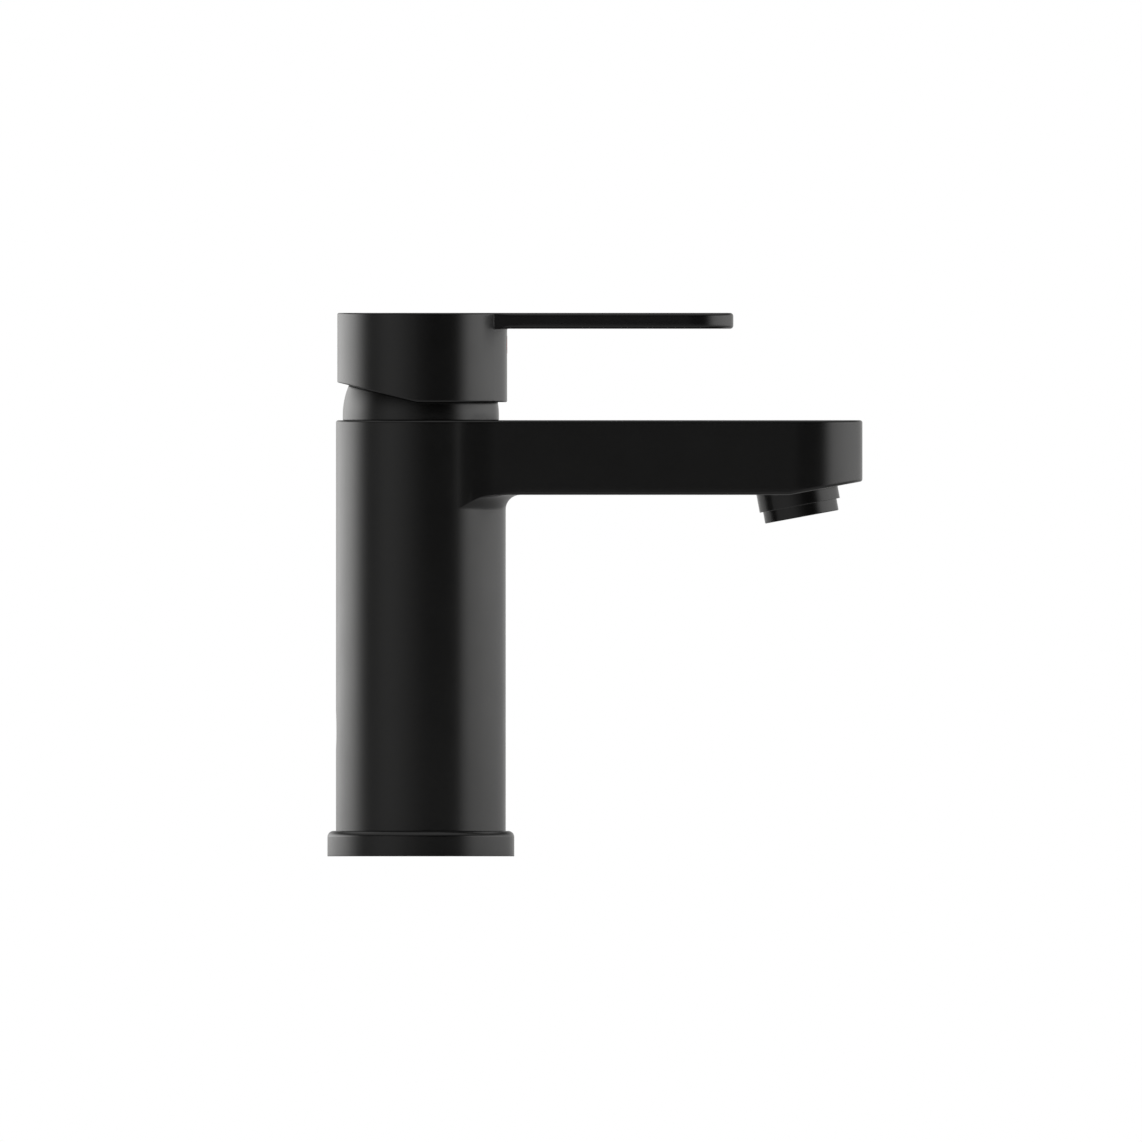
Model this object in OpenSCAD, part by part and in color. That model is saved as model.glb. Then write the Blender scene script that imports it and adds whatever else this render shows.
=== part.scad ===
// Single-lever basin mixer: round column, flat spout, short lever on a round cap.
// Millimetres. Origin: centre of the base on the deck. +Z up, +X along the spout.
// The hot side is at -Y and the cold side at +Y.

/* [Body] */
// Diameter of the column
column_d = 50; // [50:0.5:52]
// Height of the column's top, which is level with the top of the spout
body_top = 128.4; // [120:0.2:150]
// Wall of the casting around the supply spaces
casting_wall = 4; // [3.5:0.5:5]

/* [Base ring] */
// Diameter of the ring that covers the hole in the deck
base_d = 55; // [54:0.5:60]
// Height of the ring
base_h = 7.5; // [6:0.5:10]
// Radius of the ring's upper edge
base_edge_r = 1.8; // [0.5:0.1:2]

/* [Spout] */
// Distance from the column's axis to the tip
spout_reach = 130; // [120:1:160]
// Width of the spout
spout_w = 40; // [39:0.5:42]
// Depth of the spout from its flat top to its underside
spout_h = 22; // [21:0.5:23]
// Radius of the hollow blends between column and spout, seen from above
blend_r = 25; // [15:1:30]
// Wall of the spout around its water channel
spout_wall = 3; // [2.5:0.5:3.5]
// Tilt of the outlet and of the underside around it, in degrees
outlet_tilt = 10.5; // [8:0.5:12]

/* [Aerator] */
// Diameter of the threaded collar, M24 x 1
collar_d = 24; // [23.8:0.1:24]
// How far the collar stands out of the spout
collar_out = 3.6; // [2:0.1:5]
// Diameter of the key ring below the collar
key_ring_d = 22; // [21.5:0.1:22.5]
// Height of the key ring
key_ring_h = 3.45; // [3:0.05:5]

/* [Handle] */
// Height of the cap's flat top above the deck
handle_top = 160; // [160:0.2:164]
// Diameter of the cap
cap_d = 50; // [50:0.2:51]
// Height of the cap's front edge above the top of the body
cap_gap = 5.3; // [5.3:0.1:6]
// Angle of the cap's rear edge, which clears the body when the lever is up
rear_cut = 14; // [14:1:18]
// Distance from the column's axis to the tip of the lever
lever_reach = 92; // [80:1:110]
// Width of the lever
lever_w = 26.6; // [20:0.2:30]
// Thickness of the lever
lever_t = 4.7; // [4:0.1:5]

/* [Cartridge] */
// Outer diameter of the ceramic cartridge
cartridge_d = 35; // [34.9:0.1:35.1]
// Side of the square stem
stem_w = 8; // [7.5:0.1:8]
// Radius of the ball joint's dome between body and cap
dome_r = 23; // [22.8:0.1:23]

/* [Supply] */
// Core radius of the M10 x 1 hose threads
inlet_r = 4.5; // [4.4:0.1:4.6]
// Core radius of the M8 stud thread
stud_r = 3.4; // [3.3:0.1:3.5]
// Depth of the hose threads
inlet_depth = 13; // [10:1:15]
// Depth of the stud thread
stud_depth = 15; // [12:1:16]

/* [Hidden] */
$fn = 96;

BLACK = [0.13, 0.13, 0.13];
RUBBER = [0.08, 0.08, 0.08];
CERAMIC = [0.93, 0.92, 0.88];
PLASTIC = [0.85, 0.85, 0.82];
BRASS = [0.78, 0.62, 0.30];
STEEL = [0.70, 0.70, 0.72];

over = 1;              // length by which a cut passes the face it opens
slip = 0.05;           // clearance of a turning fit, on the radius
play = 0.2;            // clearance between fixed or sliding pieces

// Column and base
column_r = column_d / 2;
foot_z = 3;            // the casting stands on the floor of the base ring
base_r = base_d / 2;
base_open_r = 21;
gasket_in_r = 22.6;
gasket_out_r = 25.4;
gasket_t = 1.6;

// Spout
spout_half = spout_w / 2;
spout_under = body_top - spout_h;
tip_x = spout_reach - spout_half;
bite = 0.02;           // the blends cut this far into the faces that they smooth
blend_y = spout_half + blend_r - bite;
blend_x = sqrt(pow(column_r + blend_r - bite, 2) - pow(blend_y, 2));
touch_x = blend_x * column_r / (column_r + blend_r);
touch_y = blend_y * column_r / (column_r + blend_r);

// Outlet, on the tilted part of the underside
slant_x = spout_reach - 21.6;
outlet_x = spout_reach - 19.1;
outlet_z = spout_under + (outlet_x - slant_x) * tan(outlet_tilt);
socket_depth = 8.5;
socket_r = collar_d / 2 + 0.02;
throat_r = 9.5;
thread_len = 7;
insert_r = 10.4;
lip_r = 9;
lip_t = 1.45;

// Cartridge stack, all heights from the seat in the casting
seat_z = body_top - 27.4;
cartridge_r = cartridge_d / 2;
chamber_r = cartridge_r + play;
base_top = seat_z + 6;
fixed_top = base_top + 4;
moving_top = fixed_top + 3.5;
carrier_top = moving_top + 4.2;
flange_z = carrier_top + play;
flange_top = flange_z + 2.3;
shoulder_z = seat_z + 20;
housing_top = seat_z + 23;
neck_top = seat_z + 36;
barrel_r = 14.6;       // bore of the housing around the discs
neck_r = 14.2;
neck_bore_r = 12.6;
collar_r = 16.2;       // step of the housing that stands inside the nut
port_r = 2.6;
outlet_port_r = 3;
port_x = 5.1;          // inlets in the fixed disc, at +X so that the lifted lever opens them
inlet_port = [7.5, 8.5];
outlet_port_x = -4;
peg_at = [-4, 12.5];
peg_r = 2;
seal_t = 1.2;
seal_w = 1.2;

// Lever motion: the ball of the stem drags the carrier by its arm below the pivot
pivot_z = body_top + 1.4;
arm = 11.6;
ball_r = 2.2;
lift = 24;
travel = arm * sin(lift);
disc_rest_x = -travel / 2;
slot_half = 8.5;
slot_w = 4.2;
pin_r = 1.5;
pin_half = 11.5;
rail_y = 8;
rail_w = 2;
rail_len = 10;
rail_h = 1.1;

// Nut and dome
nut_r = 20.3;
nut_bore_r = neck_r + 0.3;
nut_hex_r = 34 / sqrt(3);
bore_floor = seat_z + 19;
bore_top = body_top - 2.4;
nut_top = seat_z + 32;
dome_t = 1.5;
dome_open_r = 16.9;
skirt_r = 21.95;
skirt_in_r = 20.6;
recess_r = 22;

// Handle
cap_r = cap_d / 2;
cap_shift = 0.4;       // the cap stands this far towards the spout
cap_in_r = dome_r + 0.3;
cap_bottom = body_top + cap_gap;
cap_ceiling = handle_top - 3.1;
boss_r = 7;
boss_z = pivot_z + 12.2;
rib_z = pivot_z + 17;
socket_top = handle_top - 4.5;
stem_top = socket_top - 0.5;
screw_z = pivot_z + 20.8;
screw_r = 2.5;
screw_end = 10;
access_r = 2.8;
plug_x = 23.4;

// Tube from z1 to z2
module tube(r_out, r_in, z1, z2) {
    translate([0, 0, z1]) difference() {
        cylinder(r = r_out, h = z2 - z1);
        translate([0, 0, -over]) cylinder(r = r_in, h = z2 - z1 + 2 * over);
    }
}

// Round hole or peg from z1 to z2
module rod(r, z1, z2, at = [0, 0]) {
    translate([at[0], at[1], z1]) cylinder(r = r, h = z2 - z1);
}

// Repeats its children on the hot and on the cold side
module both_sides() {
    for (side = [-1, 1]) scale([1, side, 1]) children();
}

// Moves its children to the outlet: local +Z leaves the spout with the water
module at_outlet() {
    translate([outlet_x, 0, outlet_z]) rotate([0, 180 - outlet_tilt, 0]) children();
}

// The six-sided cells of the outlet grid, inside radius limit
module honeycomb(limit, pitch, cell_r, z1, z2) {
    rows = floor(limit / (pitch * sin(60)));
    for (row = [-rows:rows]) for (k = [-rows:rows]) {
        x = pitch * (k + (abs(row) % 2) / 2);
        y = pitch * sin(60) * row;
        if (norm([x, y]) + cell_r < limit)
            translate([x, y, z1]) rotate([0, 0, 30]) cylinder(r = cell_r, h = z2 - z1, $fn = 6);
    }
}

module base_ring() {
    corner_r = base_r - base_edge_r;
    corner_z = base_h - base_edge_r;
    color(BLACK) rotate_extrude() difference() {
        union() {
            translate([base_open_r, 0]) square([base_r - base_open_r, foot_z]);
            translate([column_r + slip, 0]) square([base_r - column_r - slip, base_h]);
        }
        translate([gasket_in_r - 0.1, -over])
            square([gasket_out_r - gasket_in_r + 0.2, gasket_t + over]);
        difference() {
            translate([corner_r, corner_z]) square(base_edge_r + over);
            translate([corner_r, corner_z]) circle(r = base_edge_r);
        }
    }
}

module base_gasket() {
    color(RUBBER) tube(gasket_out_r, gasket_in_r, 0, gasket_t);
}

// Outline of column and spout, seen from above
module top_plan() {
    circle(r = column_r);
    translate([0, -spout_half]) square([tip_x, spout_w]);
    translate([tip_x, 0]) circle(r = spout_half);
    for (side = [-1, 1]) difference() {
        polygon([[0, 0], [blend_x, 0], [blend_x, side * touch_y], [touch_x, side * touch_y]]);
        translate([blend_x, side * blend_y]) circle(r = blend_r);
    }
}

// Supply spaces for hot and cold water, with their inlets from below
module supply() {
    top = seat_z - 14;
    bottom = 22;
    both_sides() {
        translate([0, 0, bottom]) linear_extrude(top - bottom) intersection() {
            circle(r = column_r - casting_wall);
            translate([-column_r, 2]) square([column_d, column_r]);
        }
        rod(inlet_r, foot_z - over, foot_z + inlet_depth, [-5, 8.5]);
        rod(3.5, foot_z + inlet_depth - over, bottom + over, [-5, 8.5]);
        rod(port_r + 0.2, top - over, seat_z + over, inlet_port);
        rod(peg_r + 0.1, seat_z - 3, seat_z + over, peg_at);
    }
    rod(stud_r, foot_z - over, foot_z + stud_depth, [11, 0]);
}

// Mixed water: seat, gallery, rising channel, spout and outlet throat
module waterway() {
    gallery_z = seat_z - 11.5;
    channel_z = spout_under + spout_wall;
    channel_top = body_top - spout_wall;
    channel_half = spout_half - spout_wall;
    near_x = column_r - 0.5;
    far_x = spout_reach - 37;
    rod(outlet_port_r, gallery_z + over, seat_z + over, [outlet_port_x, 0]);
    translate([outlet_port_x - 3, -4, gallery_z]) cube([28, 8, 8.5]);
    translate([0, 0, gallery_z]) rotate_extrude(start = -38, angle = 76)
        translate([19.2, 0]) square([3.6, channel_z + 8 - gallery_z]);
    translate([20.5, -12, channel_z]) cube([near_x - 19.5, 24, 8]);
    translate([near_x, -channel_half, channel_z])
        cube([far_x - near_x, 2 * channel_half, channel_top - channel_z]);
    translate([0, 0, body_top - 9.9]) linear_extrude(9.9 - spout_wall) {
        translate([far_x - over, -channel_half]) square([tip_x - far_x + over, 2 * channel_half]);
        translate([tip_x, 0]) circle(r = channel_half);
    }
    at_outlet() {
        rod(throat_r, -14, -socket_depth + over);
        rod(socket_r, -socket_depth, over);
    }
}

module body_casting() {
    color(BLACK) difference() {
        union() {
            rod(column_r, foot_z, spout_under);
            translate([0, 0, spout_under]) linear_extrude(spout_h) top_plan();
        }
        at_outlet() translate([-40, -30, 0]) cube([45, 60, 12]);
        supply();
        waterway();
        rod(chamber_r, seat_z, body_top + over);
        rod(nut_r + 0.1, bore_floor, body_top + over);
        rod(recess_r, bore_top, body_top + over);
    }
}

module cartridge_base() {
    color(PLASTIC) difference() {
        union() {
            rod(cartridge_r, seat_z, base_top);
            both_sides() rod(peg_r, seat_z - 2.8, seat_z + over, peg_at);
        }
        both_sides() {
            rod(port_r + 0.2, seat_z - over, seat_z + 4, inlet_port);
            rod(port_r, seat_z + 2.5, base_top + over, [port_x, port_x]);
            translate([inlet_port[0], inlet_port[1], 0])
                tube(port_r + 0.4 + seal_w, port_r + 0.4, seat_z - over, seat_z + seal_t);
        }
        rod(outlet_port_r, seat_z - over, base_top + over, [outlet_port_x, 0]);
        translate([outlet_port_x, 0, 0])
            tube(outlet_port_r + 0.2 + seal_w, outlet_port_r + 0.2, seat_z - over, seat_z + seal_t);
    }
}

module cartridge_seals() {
    color(RUBBER) {
        both_sides() translate([inlet_port[0], inlet_port[1], 0])
            tube(port_r + 0.4 + seal_w, port_r + 0.4, seat_z, seat_z + seal_t);
        translate([outlet_port_x, 0, 0])
            tube(outlet_port_r + 0.2 + seal_w, outlet_port_r + 0.2, seat_z, seat_z + seal_t);
    }
}

module fixed_disc() {
    color(CERAMIC) difference() {
        rod(barrel_r - play, base_top, fixed_top);
        both_sides() rod(port_r, base_top - over, fixed_top + over, [port_x, port_x]);
        rod(outlet_port_r, base_top - over, fixed_top + over, [outlet_port_x, 0]);
    }
}

// The hollow under the disc joins the ports when the lever is up
module moving_disc() {
    color(CERAMIC) difference() {
        rod(12.1, fixed_top, moving_top, [disc_rest_x, 0]);
        rod(3.7, fixed_top - over, fixed_top + 2);
        rod(4.5, fixed_top - over, fixed_top + 2, [-5.5, 0]);
    }
}

module disc_carrier() {
    color(PLASTIC) difference() {
        union() {
            rod(11.2, moving_top, carrier_top, [disc_rest_x, 0]);
            both_sides() translate([disc_rest_x - rail_len / 2, rail_y - rail_w / 2, carrier_top - over])
                cube([rail_len, rail_w, rail_h + over]);
        }
        rod(ball_r + 0.15, pivot_z - arm - ball_r - 0.2, carrier_top + over);
    }
}

module cartridge_housing() {
    color(PLASTIC) difference() {
        union() {
            rod(cartridge_r, base_top, shoulder_z);
            rod(collar_r, shoulder_z - over, housing_top);
            rod(neck_r, housing_top - over, neck_top);
        }
        rod(barrel_r, base_top - over, flange_top + play);
        rod(neck_bore_r, base_top, neck_top + over);
    }
}

module turret() {
    groove_z = seat_z + 24.2;
    color(PLASTIC) difference() {
        union() {
            rod(barrel_r - play, flange_z, flange_top);
            rod(neck_bore_r - slip, flange_z, neck_top - 0.5);
        }
        translate([-slot_half, -slot_w, flange_z - over])
            cube([2 * slot_half, 2 * slot_w, neck_top - flange_z + over]);
        translate([0, pin_half + over, pivot_z]) rotate([90, 0, 0])
            cylinder(r = pin_r + 0.03, h = 2 * (pin_half + over));
        both_sides() translate([-rail_len / 2 - 4, rail_y - rail_w / 2 - 0.1, flange_z - over])
            cube([rail_len + 8, rail_w + 0.2, rail_h + over]);
        tube(neck_bore_r + over, neck_bore_r - 1, groove_z, groove_z + 1.6);
    }
}

module turret_seal() {
    color(RUBBER) tube(neck_bore_r - slip, neck_bore_r - 1, seat_z + 24.3, seat_z + 25.7);
}

module stem() {
    arm_top = seat_z + 23;
    color(STEEL) difference() {
        union() {
            translate([-stem_w / 2, -stem_w / 2, arm_top]) cube([stem_w, stem_w, stem_top - arm_top]);
            rod(1.7, pivot_z - arm, arm_top + over);
            translate([0, 0, pivot_z - arm]) sphere(r = ball_r);
        }
        translate([0, stem_w, pivot_z]) rotate([90, 0, 0]) cylinder(r = pin_r, h = 2 * stem_w);
    }
}

module pivot_pin() {
    color(STEEL) translate([0, pin_half, pivot_z]) rotate([90, 0, 0])
        cylinder(r = pin_r, h = 2 * pin_half);
}

module cartridge_nut() {
    color(BRASS) difference() {
        union() {
            rod(nut_r, shoulder_z, bore_top);
            translate([0, 0, bore_top - over])
                cylinder(r = nut_hex_r, h = nut_top - bore_top + over, $fn = 6);
        }
        rod(nut_bore_r, shoulder_z - over, nut_top + over);
        rod(collar_r + play, shoulder_z - over, housing_top + play);
    }
}

module dome_seal() {
    color(RUBBER) tube(recess_r, skirt_r - 0.85, bore_top + 0.8, bore_top + 1.7);
}

module cartridge_dome() {
    color(BLACK) difference() {
        union() {
            rod(skirt_r, bore_top + 0.1, body_top + over);
            rod(dome_r, body_top, pivot_z);
            translate([0, 0, pivot_z]) intersection() {
                sphere(r = dome_r);
                rod(dome_r + over, 0, dome_r + over);
            }
        }
        translate([0, 0, pivot_z]) intersection() {
            sphere(r = dome_r - dome_t);
            rod(dome_r, 0, dome_r);
        }
        rod(skirt_in_r, bore_top - over, pivot_z + over);
        rod(dome_open_r, pivot_z, pivot_z + dome_r + over);
        tube(recess_r + over, skirt_r - 0.9, bore_top + 0.75, bore_top + 1.75);
    }
}

// Cap and lever are one casting; a boss inside takes the stem
module handle() {
    lever_half = lever_w / 2;
    lever_start = 19;
    color(BLACK) difference() {
        union() {
            difference() {
                rod(cap_r, cap_bottom, handle_top, [cap_shift, 0]);
                rod(cap_in_r, cap_bottom - over, cap_ceiling);
            }
            translate([lever_start, -lever_half, handle_top - lever_t])
                cube([lever_reach - lever_half - lever_start, lever_w, lever_t]);
            rod(lever_half, handle_top - lever_t, handle_top, [lever_reach - lever_half, 0]);
            rod(boss_r, boss_z, cap_ceiling + over);
            translate([boss_r - 2, -5, rib_z]) cube([plug_x - boss_r + 2.6, 10, cap_ceiling - rib_z + over]);
        }
        translate([-1.2, 0, cap_bottom]) rotate([0, rear_cut, 0])
            translate([-40, -30, -20]) cube([40, 60, 20]);
        translate([-stem_w / 2 - slip, -stem_w / 2 - slip, boss_z - over])
            cube([stem_w + 2 * slip, stem_w + 2 * slip, socket_top - boss_z + over]);
        translate([0, 0, screw_z]) rotate([0, 90, 0]) {
            cylinder(r = screw_r, h = screw_end + over);
            translate([0, 0, screw_end]) cylinder(r = access_r, h = cap_d);
        }
    }
}

module handle_screw() {
    color(STEEL) translate([stem_w / 2, 0, screw_z]) rotate([0, 90, 0]) difference() {
        cylinder(r = screw_r - slip, h = screw_end - stem_w / 2);
        translate([0, 0, screw_end - stem_w / 2 - 2.5]) cylinder(r = 1.44, h = 2.5 + over, $fn = 6);
    }
}

// Half red and half blue, level with the cap
module index_plug() {
    color([0.6, 0.1, 0.3]) intersection() {
        translate([plug_x, 0, screw_z]) rotate([0, 90, 0])
            cylinder(r = access_r - 0.02, h = cap_r);
        rod(cap_r, cap_bottom, handle_top, [cap_shift, 0]);
    }
}

module aerator_washer() {
    color(RUBBER) at_outlet() tube(socket_r - 0.1, throat_r, -socket_depth, -thread_len);
}

module aerator_housing() {
    color(BLACK) at_outlet() difference() {
        union() {
            rod(collar_d / 2, -thread_len, collar_out);
            rod(key_ring_d / 2, collar_out - over, collar_out + key_ring_h);
        }
        rod(insert_r, -thread_len - over, collar_out + key_ring_h - lip_t);
        rod(lip_r, 0, collar_out + key_ring_h + over);
    }
}

module aerator_screen() {
    color(STEEL) at_outlet() difference() {
        rod(insert_r - slip, -thread_len, -thread_len + 0.6);
        honeycomb(8.6, 1.9, 0.75, -thread_len - over, over);
    }
}

module flow_regulator() {
    top = -thread_len + 0.6;
    color(PLASTIC) at_outlet() difference() {
        rod(insert_r - slip, top, top + 2.4);
        for (k = [0:7]) rotate([0, 0, 45 * k]) rod(1.3, top - over, over, [6, 0]);
    }
}

module aerator_insert() {
    top = -thread_len + 3;
    bottom = collar_out + key_ring_h - lip_t;
    color(PLASTIC) at_outlet() difference() {
        rod(insert_r - slip, top, bottom);
        rod(insert_r - 1.2, top - over, bottom - 1.2);
        honeycomb(9, 2.6, 1.22, bottom - 1.2 - over, bottom + over);
    }
}

base_ring();
base_gasket();
body_casting();
cartridge_base();
cartridge_seals();
fixed_disc();
moving_disc();
disc_carrier();
cartridge_housing();
turret();
turret_seal();
stem();
pivot_pin();
cartridge_nut();
dome_seal();
cartridge_dome();
handle();
handle_screw();
index_plug();
aerator_washer();
aerator_housing();
aerator_screen();
flow_regulator();
aerator_insert();
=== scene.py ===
import math
import bmesh
import bpy
from mathutils import Matrix, Vector, geometry


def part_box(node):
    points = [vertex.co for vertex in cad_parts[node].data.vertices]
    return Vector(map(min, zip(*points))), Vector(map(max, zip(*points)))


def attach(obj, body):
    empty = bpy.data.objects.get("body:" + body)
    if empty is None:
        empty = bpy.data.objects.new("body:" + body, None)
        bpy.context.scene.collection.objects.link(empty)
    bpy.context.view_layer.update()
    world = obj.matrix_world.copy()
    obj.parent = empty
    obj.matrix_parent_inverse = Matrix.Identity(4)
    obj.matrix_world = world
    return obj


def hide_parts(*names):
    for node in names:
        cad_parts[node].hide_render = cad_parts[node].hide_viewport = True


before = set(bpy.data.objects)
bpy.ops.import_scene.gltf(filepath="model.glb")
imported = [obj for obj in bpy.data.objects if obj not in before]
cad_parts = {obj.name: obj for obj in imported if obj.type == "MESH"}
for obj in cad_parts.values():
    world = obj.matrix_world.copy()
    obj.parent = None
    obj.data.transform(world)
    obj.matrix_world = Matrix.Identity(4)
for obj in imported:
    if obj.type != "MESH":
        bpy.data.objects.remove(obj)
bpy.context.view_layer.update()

# Lengths in this script are millimetres, in the CAD frame; MM turns them into metres.
MM = 0.001
TINY = 1e-6


def corner(node):
    """A CAD node's lowest and highest corner, in millimetres."""
    low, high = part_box(node)
    return low / MM, high / MM


body_low, body_high = corner("body_casting")
handle_low, handle_high = corner("handle")
_, base_high = corner("base_ring")
dome_low, dome_high = corner("cartridge_dome")

# ---------------------------------------------------------------- camera and light

# width of the picture, and where its middle is
VIEW_WIDTH = 336.2
VIEW_X = 44.2
VIEW_Z = 84.0


def make_camera():
    """A level camera without perspective, which looks along +Y."""
    camera = bpy.data.objects.new("camera", bpy.data.cameras.new("camera"))
    bpy.context.scene.collection.objects.link(camera)
    camera.data.type = "ORTHO"
    camera.data.ortho_scale = VIEW_WIDTH * MM
    camera.location = (VIEW_X * MM, -1.0, VIEW_Z * MM)
    camera.rotation_euler = (math.radians(90), 0, 0)
    bpy.context.scene.camera = camera


# Brightness of the studio around the object, by heading in degrees: 0 is the camera's side (-Y),
# 90 is +X and -90 is -X. It eases from each point to the next.
BACK = 0.7
STUDIO = [
    (-180, BACK),
    (-112, 3.5), (-76, 0.25),            # bright soft box, behind on the left
    (-45, 0.6), (15, 0.0),               # weak light, in front on the left
    (46, 0.0), (72, 2.2), (88, 2.2),     # wide soft box, on the right
    (150, BACK), (180, BACK),
]
STUDIO_TOP = 4.0        # a colour ramp holds up to 1, so it holds the levels divided by this
OVERHEAD = 0.7
# heights, from 0 at the horizon to 1 overhead, between which the soft boxes and the other light fade
STUDIO_FADE = (0.1, 0.5)
OVERHEAD_FADE = (0.4, 0.7)


def make_world():
    """A studio that lights the object and is mirrored in it, while the camera sees plain white."""
    world = bpy.data.worlds.new("studio")
    bpy.context.scene.world = world
    world.use_nodes = True
    nodes, links = world.node_tree.nodes, world.node_tree.links
    nodes.clear()
    place = nodes.new("ShaderNodeTexCoord")
    axes = nodes.new("ShaderNodeSeparateXYZ")
    links.new(place.outputs["Generated"], axes.inputs[0])

    def math_node(kind, a, b=None, c=None):
        node = nodes.new("ShaderNodeMath")
        node.operation = kind
        for socket, value in zip(node.inputs, (a, b, c)):
            if isinstance(value, (int, float)):
                socket.default_value = value
            elif value is not None:
                links.new(value, socket)
        return node.outputs[0]

    heading = math_node("ARCTAN2", axes.outputs["X"], math_node("MULTIPLY", axes.outputs["Y"], -1.0))
    ramp = nodes.new("ShaderNodeValToRGB")
    ramp.color_ramp.interpolation = "EASE"
    stops = ramp.color_ramp.elements
    while len(stops) < len(STUDIO):
        stops.new(0.5)
    for stop, (angle, level) in zip(stops, STUDIO):
        stop.position = (angle + 180) / 360
        stop.color = [level / STUDIO_TOP] * 3 + [1]
    turn = math_node("MULTIPLY_ADD", heading, 1 / (2 * math.pi), 0.5)
    links.new(turn, ramp.inputs[0])
    around = math_node("MULTIPLY", ramp.outputs["Color"], STUDIO_TOP)
    height = math_node("ABSOLUTE", axes.outputs["Z"])

    def ease(fade, start, end):
        """Goes smoothly from start to end between two heights."""
        node = nodes.new("ShaderNodeMapRange")
        node.interpolation_type = "SMOOTHSTEP"
        node.inputs["From Min"].default_value, node.inputs["From Max"].default_value = fade
        node.inputs["To Min"].default_value = start
        node.inputs["To Max"].default_value = end
        links.new(height, node.inputs["Value"])
        return node.outputs[0]

    boxes = math_node("MULTIPLY", around, ease(STUDIO_FADE, 1.0, 0.0))
    total = math_node("ADD", boxes, ease(OVERHEAD_FADE, 0.0, OVERHEAD))
    light = nodes.new("ShaderNodeBackground")
    light.inputs["Color"].default_value = (1.0, 0.995, 0.985, 1)
    links.new(total, light.inputs["Strength"])
    backdrop = nodes.new("ShaderNodeBackground")
    backdrop.inputs["Color"].default_value = (1, 1, 1, 1)
    path = nodes.new("ShaderNodeLightPath")
    choose = nodes.new("ShaderNodeMixShader")
    links.new(path.outputs["Is Camera Ray"], choose.inputs[0])
    links.new(light.outputs[0], choose.inputs[1])
    links.new(backdrop.outputs[0], choose.inputs[2])
    out = nodes.new("ShaderNodeOutputWorld")
    links.new(choose.outputs[0], out.inputs["Surface"])


make_camera()
bpy.context.scene.view_settings.view_transform = "Standard"
make_world()

# ---------------------------------------------------------------- mesh tools

SHARP = math.radians(32)        # edges that turn by more are shaded as sharp
EDGE_STEPS = 4


class Skin:
    """A mesh under construction. Points that coincide share one vertex, and crisp lists pairs of
    points whose edge is shaded as sharp, however little it turns."""

    def __init__(self, name):
        self.name = name
        self.bm = bmesh.new()
        self.seen = {}
        self.crisp = []

    def vert(self, point):
        key = tuple(round(c, 3) for c in point)
        if key not in self.seen:
            self.seen[key] = self.bm.verts.new(Vector(point) * MM)
        return self.seen[key]

    def face(self, points):
        """A face through the points, unless fewer than three differ or it is there already."""
        ring = []
        for point in points:
            v = self.vert(point)
            if v not in ring:
                ring.append(v)
        if len(ring) > 2 and not self.bm.faces.get(ring):
            self.bm.faces.new(ring)

    def rows(self, rows, closed=True):
        """Quads between neighbouring rows of points."""
        for a, b in zip(rows, rows[1:]):
            for i in range(len(a) if closed else len(a) - 1):
                j = (i + 1) % len(a)
                self.face([a[i], a[j], b[j], b[i]])

    def flat(self, outer, holes, place):
        """Fills the region inside outer and outside holes. place turns a 2D point into a 3D one."""
        loops = [outer] + holes
        points, edges = [], []
        for loop in loops:
            start = len(points)
            points += [Vector(p[:2]) for p in loop]
            edges += [(start + i, start + (i + 1) % len(loop)) for i in range(len(loop))]
        corners_2d, _, triangles, *_ = geometry.delaunay_2d_cdt(points, edges, [], 0, TINY)
        for triangle in triangles:
            corners = [corners_2d[i] for i in triangle]
            middle = sum(corners, Vector((0, 0))) / 3
            if sum(inside(middle, loop) for loop in loops) % 2:
                self.face([place(c) for c in corners])

    def finish(self, body, material, node):
        """Makes the piece, which rides on the body and replaces the CAD node."""
        bmesh.ops.remove_doubles(self.bm, verts=self.bm.verts, dist=0.002 * MM)
        bmesh.ops.dissolve_degenerate(self.bm, edges=self.bm.edges, dist=0.001 * MM)
        bmesh.ops.recalc_face_normals(self.bm, faces=self.bm.faces)
        for face in self.bm.faces:
            face.smooth = True
        for edge in self.bm.edges:
            if len(edge.link_faces) == 2 and edge.calc_face_angle() > SHARP:
                edge.smooth = False
        for pair in self.crisp:
            ends = [Vector(p) * MM for p in pair]
            for edge in self.bm.edges:
                a, b = edge.verts[0].co, edge.verts[1].co
                if min((a - ends[0]).length + (b - ends[1]).length,
                       (a - ends[1]).length + (b - ends[0]).length) < 0.02 * MM:
                    edge.smooth = False
        open_edges = sum(len(e.link_faces) != 2 for e in self.bm.edges)
        if open_edges:
            print("open edges in", self.name, open_edges)
        mesh = bpy.data.meshes.new(self.name)
        self.bm.to_mesh(mesh)
        self.bm.free()
        piece = bpy.data.objects.new(self.name, mesh)
        bpy.context.scene.collection.objects.link(piece)
        mesh.materials.append(material)
        weigh = piece.modifiers.new("normals", "WEIGHTED_NORMAL")
        weigh.keep_sharp = True
        weigh.weight = 80
        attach(piece, body)
        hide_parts(node)
        return piece


def inside(point, loop):
    """Whether a 2D point is inside a closed loop."""
    odd = False
    for a, b in zip(loop, loop[1:] + loop[:1]):
        if (a[1] > point[1]) != (b[1] > point[1]):
            if point[0] < a[0] + (point[1] - a[1]) * (b[0] - a[0]) / (b[1] - a[1]):
                odd = not odd
    return odd


def arc(cx, cy, radius, start, end, steps):
    """Points on an arc, its angles in degrees, both ends included."""
    turn = [math.radians(start + (end - start) * k / steps) for k in range(steps + 1)]
    return [(cx + radius * math.cos(t), cy + radius * math.sin(t)) for t in turn]


def circle(radius, steps, cx=0.0, cy=0.0):
    """A closed loop of points."""
    return arc(cx, cy, radius, 0, 360, steps)[:-1]


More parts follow.
